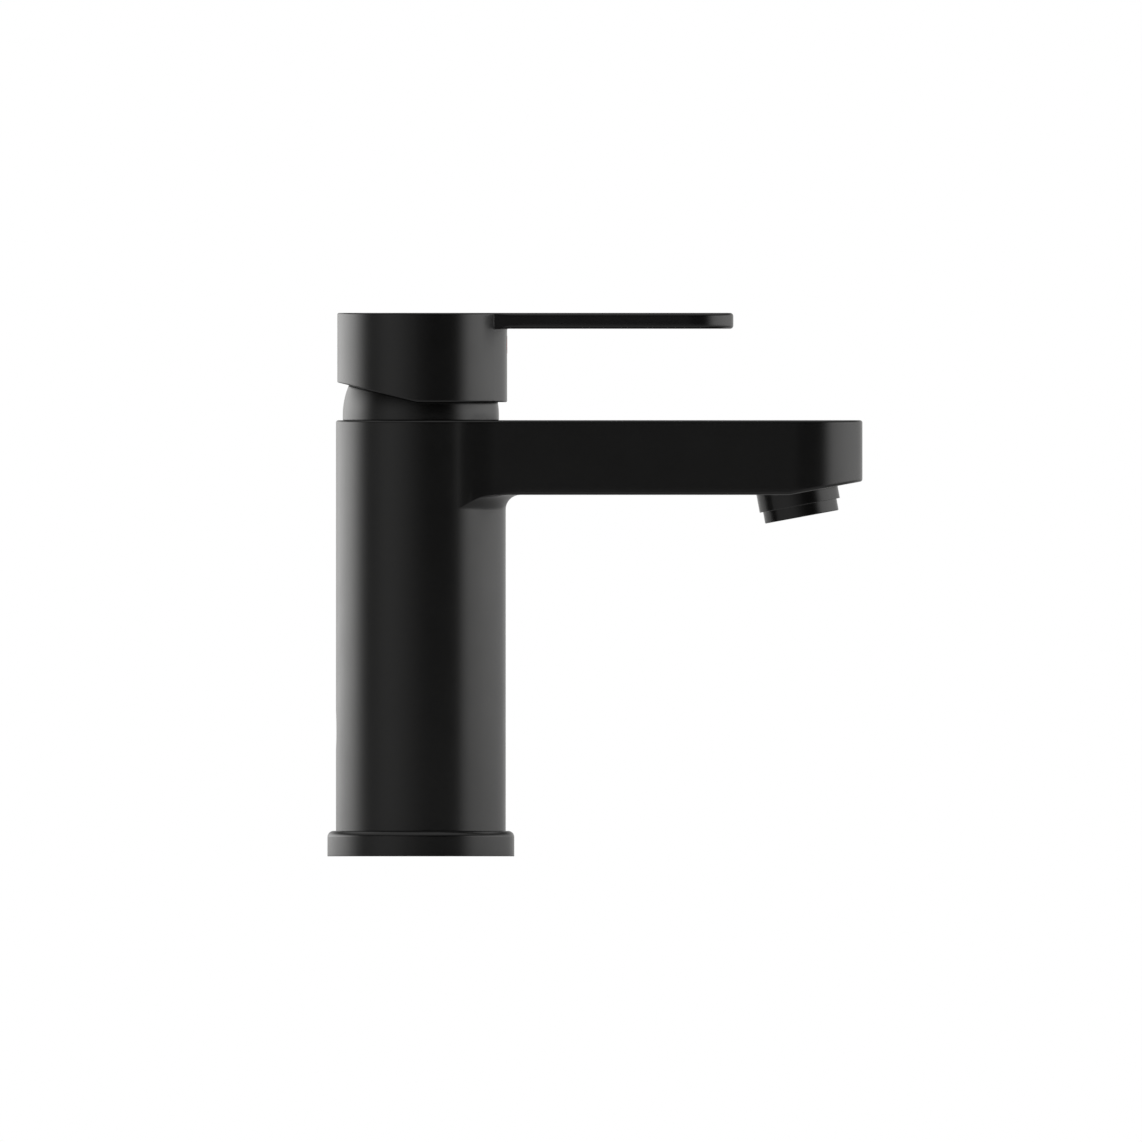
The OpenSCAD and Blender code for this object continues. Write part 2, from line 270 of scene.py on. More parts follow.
def rounded(path, steps=5, closed=False):
    """The path of (r, z) or (r, z, corner radius), with its corners rounded."""
    out = []
    for i, point in enumerate(path):
        here = Vector(point[:2])
        radius = point[2] if len(point) > 2 else 0
        ends = not closed and i in (0, len(path) - 1)
        if not radius or ends:
            out.append(tuple(here))
            continue
        back = (Vector(path[i - 1][:2]) - here).normalized()
        ahead = (Vector(path[(i + 1) % len(path)][:2]) - here).normalized()
        half = back.angle(ahead) / 2
        centre = here + (back + ahead).normalized() * (radius / math.sin(half))
        first = here + back * (radius / math.tan(half)) - centre
        last = here + ahead * (radius / math.tan(half)) - centre
        spread = first.angle_signed(last)
        for k in range(steps + 1):
            turn = Matrix.Rotation(-spread * k / steps, 2)
            out.append(tuple(centre + turn @ first))
    return out


def lathe(skin, path, segments, place=lambda p: p, closed=False):
    """Turns a path of (r, z) about the Z axis, and then places it."""
    rows = [[place((x, y, z)) for x, y in circle(r, segments)] for r, z in path]
    if closed:
        rows.append(rows[0])
    skin.rows(rows)


def corner_arc(slope, radius, steps=EDGE_STEPS):
    """Round between an upright wall and a face that climbs outwards by slope.
    (outward, upward) offsets from the sharp corner, from the face to the wall."""
    if radius < 1e-4:
        return [(0.0, 0.0)] * (steps + 1)
    reach = math.pi / 2 + math.atan(slope)
    height = radius / math.tan(reach / 2)
    end = math.atan2(-1, slope)
    turns = [end * (1 - k / steps) for k in range(steps + 1)]
    return [(radius * (math.cos(t) - 1), height + radius * math.sin(t)) for t in turns]


# ---------------------------------------------------------------- materials


def shader(name, color, roughness, metallic=0.0):
    """A new material, with its node tree and its Principled shader."""
    material = bpy.data.materials.new(name)
    material.use_nodes = True
    tree = material.node_tree
    principled = tree.nodes["Principled BSDF"]
    principled.inputs["Base Color"].default_value = (*color, 1)
    principled.inputs["Roughness"].default_value = roughness
    principled.inputs["Metallic"].default_value = metallic
    return material, tree, principled


def noise(tree, scale, detail=2.0, rough=0.5):
    """Fractal noise in the object's own metres."""
    place = tree.nodes.new("ShaderNodeTexCoord")
    node = tree.nodes.new("ShaderNodeTexNoise")
    node.inputs["Scale"].default_value = scale
    node.inputs["Detail"].default_value = detail
    node.inputs["Roughness"].default_value = rough
    tree.links.new(place.outputs["Object"], node.inputs["Vector"])
    return node.outputs["Fac"]


def spread(tree, value, low, high):
    """Maps noise, which lies mostly between 0.3 and 0.7, to low to high."""
    node = tree.nodes.new("ShaderNodeMapRange")
    node.inputs["From Min"].default_value = 0.3
    node.inputs["From Max"].default_value = 0.7
    node.inputs["To Min"].default_value = low
    node.inputs["To Max"].default_value = high
    tree.links.new(value, node.inputs["Value"])
    return node.outputs[0]


def tint(tree, value, low, high):
    """Mixes two colours by a value from 0 to 1."""
    node = tree.nodes.new("ShaderNodeMix")
    node.data_type = "RGBA"
    node.inputs["A"].default_value = (*low, 1)
    node.inputs["B"].default_value = (*high, 1)
    tree.links.new(value, node.inputs["Factor"])
    return node.outputs["Result"]


def bump(tree, principled, value, strength, distance):
    node = tree.nodes.new("ShaderNodeBump")
    node.inputs["Strength"].default_value = strength
    node.inputs["Distance"].default_value = distance
    tree.links.new(value, node.inputs["Height"])
    tree.links.new(node.outputs["Normal"], principled.inputs["Normal"])


def satin_black():
    """Coated black: very dark, with a soft sheen that varies a little and a fine orange peel."""
    material, tree, principled = shader("satin_black", (0.004, 0.004, 0.0039), 0.25)
    principled.inputs["IOR"].default_value = 1.5
    cloud = spread(tree, noise(tree, 60, 3), 0.0, 1.0)
    tree.links.new(tint(tree, cloud, (0.0035, 0.0035, 0.0034), (0.0045, 0.0045, 0.0043)),
                   principled.inputs["Base Color"])
    tree.links.new(spread(tree, noise(tree, 90, 4, 0.6), 0.235, 0.265), principled.inputs["Roughness"])
    bump(tree, principled, noise(tree, 1500, 2), 0.10, 0.00003)
    return material


def rubber():
    material, tree, principled = shader("rubber", (0.014, 0.014, 0.014), 0.72)
    tree.links.new(spread(tree, noise(tree, 500, 3), 0.62, 0.80), principled.inputs["Roughness"])
    bump(tree, principled, noise(tree, 2500, 2), 0.2, 0.00005)
    return material


def ceramic():
    material, tree, principled = shader("ceramic", (0.80, 0.78, 0.72), 0.12)
    cloud = spread(tree, noise(tree, 300, 3), 0.0, 1.0)
    tree.links.new(tint(tree, cloud, (0.78, 0.76, 0.70), (0.83, 0.81, 0.76)),
                   principled.inputs["Base Color"])
    bump(tree, principled, noise(tree, 4000, 1), 0.05, 0.00001)
    return material


def moulded(name, light, dark, roughness):
    material, tree, principled = shader(name, light, roughness)
    cloud = spread(tree, noise(tree, 150, 2), 0.0, 1.0)
    tree.links.new(tint(tree, cloud, dark, light), principled.inputs["Base Color"])
    tree.links.new(spread(tree, noise(tree, 700, 2), roughness - 0.05, roughness + 0.06),
                   principled.inputs["Roughness"])
    bump(tree, principled, noise(tree, 3000, 2), 0.15, 0.00003)
    return material


def turned(name, color, roughness):
    """Bare metal with fine tool marks across the Z axis."""
    material, tree, principled = shader(name, color, roughness, 1.0)
    place = tree.nodes.new("ShaderNodeTexCoord")
    rings = tree.nodes.new("ShaderNodeTexWave")
    rings.bands_direction = "Z"
    rings.inputs["Scale"].default_value = 1200
    rings.inputs["Distortion"].default_value = 1.5
    tree.links.new(place.outputs["Object"], rings.inputs["Vector"])
    tree.links.new(spread(tree, noise(tree, 200, 3), roughness - 0.06, roughness + 0.08),
                   principled.inputs["Roughness"])
    bump(tree, principled, rings.outputs["Fac"], 0.15, 0.00002)
    return material


def index_paint():
    """Red on the hot side, at -Y, and blue on the cold side."""
    material, tree, principled = shader("index_paint", (0.5, 0.02, 0.03), 0.22)
    place = tree.nodes.new("ShaderNodeTexCoord")
    axes = tree.nodes.new("ShaderNodeSeparateXYZ")
    tree.links.new(place.outputs["Object"], axes.inputs[0])
    side = tree.nodes.new("ShaderNodeMath")
    side.operation = "GREATER_THAN"
    side.inputs[1].default_value = 0.0
    tree.links.new(axes.outputs["Y"], side.inputs[0])
    tree.links.new(tint(tree, side.outputs[0], (0.42, 0.012, 0.015), (0.012, 0.06, 0.36)),
                   principled.inputs["Base Color"])
    tree.links.new(spread(tree, noise(tree, 400, 2), 0.18, 0.28), principled.inputs["Roughness"])
    return material


BLACK = satin_black()
RUBBER = rubber()
CERAMIC = ceramic()
ACETAL = moulded("acetal", (0.78, 0.78, 0.74), (0.70, 0.70, 0.67), 0.42)
GREY_PLASTIC = moulded("grey_plastic", (0.55, 0.56, 0.57), (0.48, 0.49, 0.50), 0.38)
BRASS = turned("turned_brass", (0.78, 0.58, 0.27), 0.28)
STEEL = turned("stainless", (0.62, 0.62, 0.63), 0.26)
INDEX = index_paint()

# ---------------------------------------------------------------- drum with an arm
# The body is a column with a spout, and the handle is a cap with a lever: both are a drum with a
# flat, round-ended arm that is level with its top. A shape says, in millimetres and degrees:
#   drum, cx            radius of the drum, and how far its axis stands towards the tip
#   reach, half         where the arm's tip is, and half of the arm's width
#   blend, fillet       rounds between the arm and the drum, seen from above and under the arm
#   under, top          heights of the arm's underside at the drum and of its top
#   face_z, slope       height of the underside at x, and how steeply it climbs there
#   lower_edge, fade    radius of the arm's lower edge, and the length over which it runs out
#   upper_edge          radius of the upper edge at x
#   wall_from           place of the wall's first level row, as a share of the arm's depth
#   split, mouth        where the underside starts to climb, and the outlet's rim on either side of it
#   extra_x, extra_angles   further points on the outline
#   top_holes           loops left open in the top

TIP_STEPS = 36
BLEND_STEPS = 14
ALONG_STEP = 4
AROUND_STEP = 2.5
HOLLOW_STEPS = 8
UPPER_EDGE_STEPS = 5
ROW_GAP = 0.3          # distance from an edge to the row that keeps the wall beside it flat


def arm_plan(shape):
    """Half of the outline seen from above, at y >= 0, from the tip round to the rear, and the heading
    where it reaches the drum. Each point is (x, y, normal x, normal y) from the drum's axis."""
    drum, half, blend = shape["drum"], shape["half"], shape["blend"]
    end = shape["reach"] - shape["cx"] - half
    by = half + blend
    bx = math.sqrt((drum + blend) ** 2 - by**2)
    touch = math.degrees(math.atan2(by, bx))
    plan = [(x, y, (x - end) / half, y / half) for x, y in arc(end, 0, half, 0, 90, TIP_STEPS)]
    steps = max(2, round((end - bx) / ALONG_STEP))
    along = [end + (bx - end) * k / steps for k in range(1, steps + 1)]
    along += shape.get("extra_x", [])
    plan += [(x, half, 0.0, 1.0) for x in sorted(along, reverse=True)]
    bend = arc(bx, by, blend, -90, touch - 180, BLEND_STEPS)[1:]
    plan += [(x, y, (bx - x) / blend, (by - y) / blend) for x, y in bend]
    steps = round((180 - touch) / AROUND_STEP)
    angles = [touch + (180 - touch) * k / steps for k in range(1, steps + 1)]
    angles += shape.get("extra_angles", [])
    for angle in sorted(angles):
        t = math.radians(angle)
        plan.append((drum * math.cos(t), drum * math.sin(t), math.cos(t), math.sin(t)))
    return plan, touch


def with_crossing(plan, radius):
    """The plan with a point where it crosses the radius on its way in, and that point's index."""
    for i, (a, b) in enumerate(zip(plan, plan[1:])):
        ra, rb = math.hypot(*a[:2]), math.hypot(*b[:2])
        if ra >= radius > rb:
            part = (ra - radius) / (ra - rb)
            between = tuple(p + (q - p) * part for p, q in zip(a, b))
            return plan[: i + 1] + [between] + plan[i + 1 :], i + 1


def flip(point):
    return (point[0], -point[1]) + tuple(point[2:])


def mirrored(half):
    """A closed loop from half of it: on to the rear, and back along -y."""
    return half + [flip(p) for p in reversed(half[1:-1])]


def wall_column(shape, point, low, slope, radius):
    """Points up the wall: round the lower edge of a radius, up, and round the upper edge."""
    x, y, nx, ny = point
    cx, under, top = shape["cx"], shape["under"], shape["top"]
    upper = shape["upper_edge"](x)
    column = [(x + nx * out + cx, y + ny * out, low + up) for out, up in corner_arc(slope, radius)]
    # level along the arm wherever the lower edge leaves room, so that the wall is shaded evenly
    start = max(under + shape["wall_from"] * (top - under), column[-1][2] + ROW_GAP)
    stop = top - upper
    column += [(x + cx, y, z) for z in (start, (start + stop) / 2, stop - ROW_GAP, stop)]
    for k in range(1, UPPER_EDGE_STEPS + 1):
        t = math.radians(90 * k / UPPER_EDGE_STEPS)
        inset = upper * (1 - math.cos(t))
        column.append((x + cx - nx * inset, y - ny * inset, stop + upper * math.sin(t)))
    return column


def hollow_rows(shape, front, ring_z):
    """Rows up the fillet under the arm. front lists headings, each with the radius that it reaches."""
    drum, fillet, cx = shape["drum"], shape["fillet"], shape["cx"]
    rows = []
    for k in range(HOLLOW_STEPS + 1):
        row = []
        for angle, limit in front:
            t = math.radians(angle)
            far = math.acos(max(-1.0, min(1.0, (drum + fillet - limit) / fillet)))
            radius = drum + fillet - fillet * math.cos(far * k / HOLLOW_STEPS)
            height = ring_z + fillet * math.sin(far * k / HOLLOW_STEPS)
            row.append((cx + radius * math.cos(t), radius * math.sin(t), height))
        rows.append(row)
    return rows


def fill_underside(skin, shape, rim, hollow):
    """The arm's lower face, between its rim and the hollow. A round outlet may lie across the line
    where the face starts to climb, so each side of that line is filled on its own."""
    split = shape.get("split", math.inf)
    near_mouth, far_mouth = shape.get("mouth", ([], []))

    def fill(loop):
        skin.flat(loop, [], lambda p: (p[0], p[1], shape["face_z"](p[0])))

    near = [p for p in rim if p[0] <= split + TINY]
    far = [p for p in rim if p[0] >= split - TINY]
    # a tip on the axis is its own mirror image, so it comes only once
    fill(near + hollow[::-1] + [flip(p) for p in reversed(near) if p[1] > TINY] + near_mouth[::-1])
    if far:
        fill(far + far_mouth + [flip(p) for p in reversed(far) if p[1] > TINY])


def drum_with_arm(skin, shape):
    """Everything above the drum's lower wall. Returns that wall's headings in degrees, as a closed
    loop, and the height at which it starts."""
    drum, fillet, cx = shape["drum"], shape["fillet"], shape["cx"]
    plan, touch = arm_plan(shape)
    plan, cross = with_crossing(plan, drum + fillet)
    at_drum = next(i for i, p in enumerate(plan) if math.hypot(*p[:2]) < drum + TINY)
    ring_z = shape["under"] - fillet

    columns = []
    for i, point in enumerate(plan):
        x, y, nx, _ = point
        low, slope, radius = ring_z, 0.0, 0.0
        if i <= cross:
            fade = min(1.0, math.hypot(x - plan[cross][0], y - plan[cross][1]) / shape["fade"])
            low = shape["face_z"](x + cx)
            slope = shape["slope"](x + cx) * nx
            radius = shape["lower_edge"] * fade
        elif i < at_drum:
            low += math.sqrt(max(0.0, fillet**2 - (drum + fillet - math.hypot(x, y)) ** 2))
        columns.append(wall_column(shape, point, low, slope, radius))
    loops = [mirrored(list(loop)) for loop in zip(*columns)]
    skin.rows(loops)
    # where the lower edge runs out, its upper border is crisp, so that the wall is shaded evenly
    for i in range(cross - 2, cross):
        a, b = columns[i][EDGE_STEPS], columns[i + 1][EDGE_STEPS]
        skin.crisp += [(a, b), (flip(a), flip(b))]
    skin.flat(loops[-1], shape.get("top_holes", []), lambda p: (p[0], p[1], shape["top"]))

    # headings of the drum's wall below the arm: under the arm, along the blend, and at the rear
    edge_angle = math.degrees(math.atan2(plan[cross][1], plan[cross][0]))
    count = math.ceil(edge_angle / AROUND_STEP)
    headings = [(edge_angle * k / count, drum + fillet) for k in range(count)]
    for x, y, _, _ in plan[cross:]:
        headings.append((math.degrees(math.atan2(y, x)), min(math.hypot(x, y), drum + fillet)))
    front = [h for h in headings if h[0] <= touch + TINY]
    front = [(-a, r) for a, r in reversed(front[1:])] + front
    rows = hollow_rows(shape, front, ring_z)
    skin.rows(rows, closed=False)
    hollow = [p for p, (a, _) in zip(rows[-1], front) if abs(a) < edge_angle - TINY]
    fill_underside(skin, shape, [column[0] for column in columns[: cross + 1]], hollow)
    around = [a for a, _ in headings]
    return around + [360 - a for a in reversed(around[1:-1])], ring_z


# ---------------------------------------------------------------- body

COLUMN_R = body_high.y
FOOT_CHAMFER = 0.4

SPOUT_HALF = 20.0
SPOUT_UNDER = body_high.z - 22.0
SLANT_X = body_high.x - 21.6        # from here to the tip the underside climbs
OUTLET_TILT = math.radians(10.5)
OUTLET_X = body_high.x - 19.1
OUTLET_Z = SPOUT_UNDER + (OUTLET_X - SLANT_X) * math.tan(OUTLET_TILT)

SOCKET_R = 12.02
SOCKET_DEPTH = 8.5
MOUTH_CHAMFER = 0.25
MOUTH_R = SOCKET_R + MOUTH_CHAMFER
THROAT_R = 9.5
THROAT_DEPTH = 12.0

# bore for the cartridge: a recess for the dome, the nut's thread, and the chamber
RECESS_R = 22.0
RECESS_DEPTH = 2.4
NUT_R = 20.4
CHAMBER_R = 17.7
SEAT_Z = body_high.z - 27.4
NUT_Z = SEAT_Z + 19
BORE_SEGMENTS = 96

# holes in the foot: x, y, radius and upper end of the thread, its pitch, radius of the passage above
PORTS = (
    (-5.0, 8.5, 4.5, 16.0, 1.0, 3.5),
    (-5.0, -8.5, 4.5, 16.0, 1.0, 3.5),
    (11.0, 0.0, 3.4, 18.0, 1.25, 0.0),
)
PORT_SEGMENTS = 48

# shallow oval hollow low on the column's rear
DIMPLE_Z = 37.2
DIMPLE_DEPTH = 0.18
DIMPLE_HALF_WIDTH = 2.644
DIMPLE_HALF_HEIGHT = 5.596


def dimple(y, z):
    """Depth of the dimple below the column's surface."""
    across = (y / DIMPLE_HALF_WIDTH) ** 2
    along = ((z - DIMPLE_Z) / DIMPLE_HALF_HEIGHT) ** 2
    return max(0.0, DIMPLE_DEPTH * (1 - across - along))


def column_row(radius, headings, height):
    """A loop of points on the column, which gives way at the dimple."""
    row = []
    for angle in headings:
        t = math.radians(angle)
        depth = dimple(radius * math.sin(t), height) if math.cos(t) < 0 else 0.0
        row.append(((radius - depth) * math.cos(t), (radius - depth) * math.sin(t), height))
    return row


def at_outlet(point):
    """Places a point of the outlet's own frame, whose +Z leaves the spout with the water."""
    turn = Matrix.Rotation(math.pi - OUTLET_TILT, 3, "Y")
    return tuple(Vector((OUTLET_X, 0, OUTLET_Z)) + turn @ Vector(point))


def under_spout(x):
    return SPOUT_UNDER + max(0.0, x - SLANT_X) * math.tan(OUTLET_TILT)


def outlet_turns():
    """Angles around the outlet: across the level part of the underside, and on across the slant."""
    meet = math.degrees(math.acos((OUTLET_X - SLANT_X) / (MOUTH_R * math.cos(OUTLET_TILT))))
    near = [meet - 2 * meet * k / 32 for k in range(33)]
    far = [-meet - (360 - 2 * meet) * k / 64 for k in range(1, 64)]
    return near, far


def outlet_row(turns, radius, depth=None, lift=0.0):
    """Points around the outlet, at a depth, or without one where the underside is, lift inside it."""
    row = []
    for turn in turns:
        t = math.radians(turn)
        x, y = radius * math.cos(t), radius * math.sin(t)
        w = depth
        if w is None:
            low = at_outlet((x, y, 0))[2]
            w = min(0.0, (low - SPOUT_UNDER) / math.cos(OUTLET_TILT)) - lift
        row.append(at_outlet((x, y, w)))
    return row


def thread(radius, top, bottom, pitch, depth=0.35):
    """Profile of a threaded hole's wall, drawn as rings, from its mouth at bottom up to top."""
    path = [(radius + 0.45, bottom), (radius + 0.05, bottom + 0.4)]
    z = bottom + 0.4
    while z + pitch < top:
        path += [(radius, z + 0.15 * pitch), (radius + depth, z + 0.5 * pitch), (radius, z + 0.85 * pitch)]
        z += pitch
    return path + [(radius, top)]


def add_port(skin, x, y, radius, top, pitch, passage):
    """A threaded hole in the foot, which ends in a passage or in a drill's point. Returns its mouth."""
    path = thread(radius, top, body_low.z, pitch)
    mouth_r = path[0][0]
    path += [(passage, top), (passage, top + 6), (0, top + 6)] if passage else [(0, top + 2)]
    lathe(skin, path, PORT_SEGMENTS, lambda p: (p[0] + x, p[1] + y, p[2]))
    return circle(mouth_r, PORT_SEGMENTS, x, y)


def add_column(skin, headings, ring_z):
    """The column below the spout, down to the foot and its threaded holes."""
    foot = body_low.z
    heights = [ring_z, ring_z - 0.4, ring_z - 2, 80, 60]
    heights += [DIMPLE_Z + 6 - k for k in range(13)]
    heights += [20, foot + FOOT_CHAMFER]
    rows = [column_row(COLUMN_R, headings, z) for z in heights]
    rows.append(column_row(COLUMN_R - FOOT_CHAMFER, headings, foot))
    skin.rows(rows)
    mouths = [add_port(skin, *port) for port in PORTS]
    skin.flat(rows[-1], mouths, lambda p: (p[0], p[1], foot))


def add_bore(skin):
    """The stepped bore for the cartridge, from the top down to its seat."""
    top = body_high.z
    recess_z = top - RECESS_DEPTH
    path = [(RECESS_R, top), (RECESS_R, recess_z), (NUT_R, recess_z), (NUT_R, NUT_Z),
            (CHAMBER_R, NUT_Z), (CHAMBER_R, SEAT_Z), (0.0, SEAT_Z)]
    lathe(skin, path, BORE_SEGMENTS)


def add_socket(skin, turns):
    """The aerator's socket and the throat behind it."""
    rows = [outlet_row(turns, MOUTH_R), outlet_row(turns, SOCKET_R, lift=MOUTH_CHAMFER)]
    for radius, depth in ((SOCKET_R, SOCKET_DEPTH), (THROAT_R, SOCKET_DEPTH),
                          (THROAT_R, THROAT_DEPTH), (0.0, THROAT_DEPTH)):
        rows.append(outlet_row(turns, radius, -depth))
    skin.rows(rows)


def make_body():
    skin = Skin("body")
    near_turns, far_turns = outlet_turns()
    near_mouth = outlet_row(near_turns, MOUTH_R)
    far_mouth = outlet_row([near_turns[0] - 360] + far_turns[::-1] + [near_turns[-1]], MOUTH_R)
    shape = {
        "drum": COLUMN_R, "cx": 0.0, "reach": body_high.x, "half": SPOUT_HALF,
        "blend": 25.0, "fillet": 4.25, "under": SPOUT_UNDER, "top": body_high.z,
        "face_z": under_spout,
        "slope": lambda x: math.tan(OUTLET_TILT) if x > SLANT_X + TINY else 0.0,
        "lower_edge": 0.8, "fade": 6.0, "upper_edge": lambda x: 0.75, "wall_from": 0.1,
        "split": SLANT_X, "mouth": (near_mouth, far_mouth), "extra_x": [SLANT_X],
        "extra_angles": [173.4 + 0.6 * k for k in range(11)],
        "top_holes": [circle(RECESS_R, BORE_SEGMENTS)],
    }
    headings, ring_z = drum_with_arm(skin, shape)
    add_column(skin, headings, ring_z)
    add_bore(skin)
    add_socket(skin, near_turns + far_turns)
    return skin.finish("base", BLACK, "body_casting")


# ---------------------------------------------------------------- handle

LEVER_HALF = 13.3
LEVER_UNDER = handle_high.z - 4.7
CAP_R = handle_high.y
CAP_X = 0.4
CAP_IN_R = dome_high.x + 0.3
CAP_BOTTOM = handle_low.z
CAP_EDGE = 0.4
CAP_INNER_EDGE = 0.25
CEILING = handle_high.z - 3.1
# behind here the cap's lower edge climbs, which leaves it room to tilt
CUT_X = -1.2
CUT_TILT = math.radians(14)
BOSS_R = 7.0
BOSS_Z = CAP_BOTTOM + 8.3
BOSS_CHAMFER = 0.4
BOSS_SEGMENTS = 64
STEM_HALF = 4.05
STEM_TOP = handle_high.z - 4.5


def cap_rim(x):
    return CAP_BOTTOM + max(0.0, CUT_X - x) * math.tan(CUT_TILT)


def add_cap(skin, headings, ring_z):
    """The cap's wall, its lower edge and its inside. Returns the outline of the ceiling."""
    wall, rim = [], []
    for angle in headings:
        t = math.radians(angle)
        x, y = CAP_X + CAP_R * math.cos(t), CAP_R * math.sin(t)
        slope = -math.tan(CUT_TILT) * math.cos(t) if x < CUT_X - TINY else 0.0
        low = cap_rim(x)
        outer = [(x + math.cos(t) * out, y + math.sin(t) * out, low + up)
                 for out, up in corner_arc(slope, CAP_EDGE)]
        ix, iy = CAP_IN_R * math.cos(t), CAP_IN_R * math.sin(t)
        inner_low = cap_rim(ix)
        inner = [(ix - math.cos(t) * out, iy - math.sin(t) * out, inner_low + up)
                 for out, up in corner_arc(-slope, CAP_INNER_EDGE, 2)]
        start = outer[-1][2]
        heights = (ring_z, ring_z - 0.4, (ring_z + start) / 2, start + 0.4)
        wall.append([(x, y, z) for z in heights] + outer[::-1])
        rim.append(inner + [(ix, iy, CEILING)])
    skin.rows([list(row) for row in zip(*wall)])
    ceiling = [column[-1] for column in rim]
    skin.rows([[column[-1] for column in wall]] + [list(row) for row in zip(*rim)])
    return ceiling


def add_boss(skin, ceiling):
    """The boss inside the cap, with its square socket for the stem."""
    skin.flat(ceiling, [circle(BOSS_R, BOSS_SEGMENTS)], lambda p: (p[0], p[1], CEILING))
    profile = ((BOSS_R, CEILING), (BOSS_R, BOSS_Z + BOSS_CHAMFER), (BOSS_R - BOSS_CHAMFER, BOSS_Z))
    rows = [[(x, y, z) for x, y in circle(r, BOSS_SEGMENTS)] for r, z in profile]
    skin.rows(rows)
    square = [(STEM_HALF * a, STEM_HALF * b) for a, b in ((-1, -1), (1, -1), (1, 1), (-1, 1))]
    skin.flat(rows[-1], [square], lambda p: (p[0], p[1], BOSS_Z))
    skin.rows([[(x, y, z) for x, y in square] for z in (BOSS_Z, STEM_TOP)])
    skin.face([(x, y, STEM_TOP) for x, y in square])


def make_handle():
    skin = Skin("handle_casting")
    kink = math.degrees(math.acos((CUT_X - CAP_X) / CAP_R))
    shape = {
        "drum": CAP_R, "cx": CAP_X, "reach": handle_high.x, "half": LEVER_HALF,
        "blend": 0.4, "fillet": 0.3, "under": LEVER_UNDER, "top": handle_high.z,
        "face_z": lambda x: LEVER_UNDER, "slope": lambda x: 0.0,
        "lower_edge": 0.95, "fade": 3.0, "wall_from": 0.35,
        # sharper on the cap than on the lever
        "upper_edge": lambda x: 0.5 + 0.45 * min(1.0, max(0.0, (x - 21) / 5)),
        "extra_angles": [kink],
    }
    headings, ring_z = drum_with_arm(skin, shape)
    ceiling = add_cap(skin, headings, ring_z)
    add_boss(skin, ceiling)
    return skin.finish("handle", BLACK, "handle")


# ---------------------------------------------------------------- turned pieces and the plug

BASE_EDGE = 1.8
BASE_OPEN_R = 21
GROOVE_IN_R = 22.5
GROOVE_OUT_R = 25.5
GROOVE_DEPTH = 1.6

DOME_WALL = 1.5
DOME_MOUTH_R = 16.9
SKIRT_R = 21.95
SKIRT_IN_R = 20.6

COLLAR_R = 12.0
KEY_RING_R = 11.0
THREAD_START = -7.0
THREAD_CORE_R = COLLAR_R - 0.6
THREAD_CREST_R = COLLAR_R - 0.1
SHOULDER = 3.6
COLLAR_END = 7.05
COLLAR_IN_R = 10.4
LIP_R = 9.0
LIP_T = 1.45

PLUG_R = 2.75
PLUG_PROUD = 0.06


def make_base_ring():
    skin = Skin("base_cover_ring")
    r, h = base_high.x, base_high.z
    inner, floor_z = COLUMN_R + 0.05, body_low.z
    path = [(inner, h, 0.08), (r, h, BASE_EDGE), (r, 0, 0.15), (GROOVE_OUT_R, 0),
            (GROOVE_OUT_R, GROOVE_DEPTH), (GROOVE_IN_R, GROOVE_DEPTH), (GROOVE_IN_R, 0),
            (BASE_OPEN_R, 0, 0.2), (BASE_OPEN_R, floor_z), (inner, floor_z)]
    lathe(skin, rounded(path, 8, closed=True), 192, closed=True)
    return skin.finish("base", BLACK, "base_ring")


def make_dome():
    """A ball-shaped shell on a straight skirt, open at the top for the stem."""
    skin = Skin("dome_cover")
    r = dome_high.x
    rim_z = body_high.z
    centre_z = rim_z + 1.4
    inside_r = r - DOME_WALL
    outside = arc(0, centre_z, r, 0, math.degrees(math.acos(DOME_MOUTH_R / r)), 32)
    lip = outside[-1]
    within = arc(0, centre_z, inside_r, math.degrees(math.acos(lip[0] / inside_r)), 0, 24)
    path = [(SKIRT_IN_R, dome_low.z), (SKIRT_R, dome_low.z), (SKIRT_R, rim_z), (r - 0.15, rim_z),
            (r, rim_z + 0.15)]
    path += outside[:-1]
    path += rounded([outside[-2], lip + (0.3,), within[0] + (0.2,), within[1]], 4)[1:-1]
    path += within[1:] + [(SKIRT_IN_R, centre_z)]
    lathe(skin, path, 192, closed=True)
    return skin.finish("base", BLACK, "cartridge_dome")


def make_aerator():
    """The collar: a thread inside the spout, a smooth part, and the narrower key ring."""
    skin = Skin("aerator_collar")
    path = [(COLLAR_IN_R, THREAD_START, 0.2), (THREAD_CORE_R, THREAD_START, 0.3)]
    for k in range(4):
        z = -6.4 + k
        path += [(THREAD_CORE_R, z), (THREAD_CREST_R, z + 0.5)]
    path += [(THREAD_CORE_R, -2.4), (COLLAR_R, -2.2, 0.1), (COLLAR_R, SHOULDER, 0.1),
             (KEY_RING_R, SHOULDER, 0.05), (KEY_RING_R, COLLAR_END, 0.3), (LIP_R, COLLAR_END, 0.3),
             (LIP_R, COLLAR_END - LIP_T), (COLLAR_IN_R, COLLAR_END - LIP_T)]
    lathe(skin, rounded(path, 5, closed=True), 160, at_outlet, closed=True)
    return skin.finish("base", BLACK, "aerator_housing")


